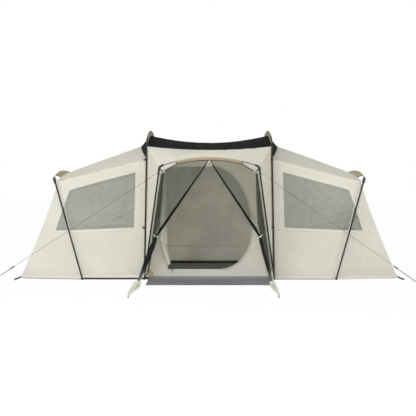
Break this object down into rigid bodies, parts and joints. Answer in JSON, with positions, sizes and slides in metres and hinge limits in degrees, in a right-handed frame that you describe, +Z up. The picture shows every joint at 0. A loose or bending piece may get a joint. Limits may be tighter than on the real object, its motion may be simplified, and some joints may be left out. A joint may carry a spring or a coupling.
{
  "type": "glamping tent",
  "caption": "Cabin-style family tent with two low wings, mesh roof, D-shaped door and a pole-framed porch awning with tied-back mesh curtains and guy lines.",
  "frame": {"origin": "middle of the underside of the tent's floor, on the ground", "axes": "+Z up, +X to the right seen from the front, the front with the door and porch faces -Y"},
  "size_m": [6.0314, 5.7728, 2.1785],
  "materials": {
    "canvas": "plain-woven coated polyester, matt",
    "tan_cloth": "plain-woven polyester, matt",
    "dark_mesh": "fine knitted mesh, matt",
    "window_mesh": "fine knitted mesh, matt",
    "screen_mesh": "fine knitted mesh, matt",
    "black_floor": "woven polyethylene sheet, low sheen",
    "porch_mat": "woven polyethylene sheet, low sheen",
    "pole_paint": "satin powder coat",
    "rod": "satin glass-fibre rod",
    "black_plastic": "moulded, satin",
    "steel": "plated wire",
    "cord": "braided cord"
  },
  "bodies": {
    "tent": {"awning_gusset_left": "canvas", "awning_gusset_right": "canvas", "awning_roof": "canvas", "back_wall": "canvas", "bathtub_floor": "black_floor", "centre_arch_left": "pole_paint", "centre_arch_right": "pole_paint", "centre_leg_back_left": "pole_paint", "centre_leg_back_right": "pole_paint", "centre_leg_front_left": "pole_paint", "centre_leg_front_right": "pole_paint", "centre_sleeve_left": "tan_cloth", "centre_sleeve_right": "tan_cloth", "corner_peg_left": "black_plastic", "corner_peg_right": "black_plastic", "door_roll": "canvas", "end_wall_left": "canvas", "end_wall_right": "canvas", "front_wall": "canvas", "guy_line_left": "cord", "guy_line_right": "cord", "guy_peg_left": "steel", "guy_peg_right": "steel", "mesh_roof": "dark_mesh", "porch_floor": "porch_mat", "skirt_left": "canvas", "skirt_right": "canvas", "window_mesh_left": "window_mesh", "window_mesh_right": "window_mesh", "wing_arch_left": "rod", "wing_arch_right": "rod", "wing_back_wall_left": "canvas", "wing_back_wall_right": "canvas", "wing_elbow_back_left": "black_plastic", "wing_elbow_back_right": "black_plastic", "wing_elbow_front_left": "black_plastic", "wing_elbow_front_right": "black_plastic", "wing_front_wall_left": "canvas", "wing_front_wall_right": "canvas", "wing_leg_back_left": "pole_paint", "wing_leg_back_right": "pole_paint", "wing_leg_front_left": "pole_paint", "wing_leg_front_right": "pole_paint", "wing_roof_left": "canvas", "wing_roof_right": "canvas", "wing_sleeve_left": "tan_cloth", "wing_sleeve_right": "tan_cloth"},
    "awning": {"awning_leg_left": "pole_paint", "awning_leg_right": "pole_paint", "awning_elbow_left": "black_plastic", "awning_elbow_right": "black_plastic", "awning_arch": "rod", "awning_sleeve": "tan_cloth", "curtain_left": "screen_mesh", "curtain_right": "screen_mesh", "curtain_roll_left": "screen_mesh", "curtain_roll_right": "screen_mesh"},
    "door_zip_slider": {"door_zip_slider": "black_plastic"},
    "guy_adjuster_left": {"guy_adjuster_left": "black_plastic"},
    "guy_adjuster_right": {"guy_adjuster_right": "black_plastic"}
  },
  "joints": [
    {"name": "awning_tilt", "type": "hinge", "parent": "tent", "child": "awning", "pos_m": [0, -1.5865, 0.02], "axis": [-1, 0, 0], "range_deg": [0, 26], "deforming": ["awning_roof", "awning_gusset_left", "awning_gusset_right", "guy_line_left", "guy_line_right"]},
    {"name": "door_zip", "type": "slide", "parent": "tent", "child": "door_zip_slider", "axis": [1, 0, 0], "range_m": [0, 0.55]},
    {"name": "guy_adjust_left", "type": "slide", "parent": "tent", "child": "guy_adjuster_left", "axis": [0.8054, 0.2749, 0.5251], "range_m": [-0.25, 0.6]},
    {"name": "guy_adjust_right", "type": "slide", "parent": "tent", "child": "guy_adjuster_right", "axis": [-0.7836, 0.2881, 0.5504], "range_m": [-0.25, 0.6]}
  ]
}
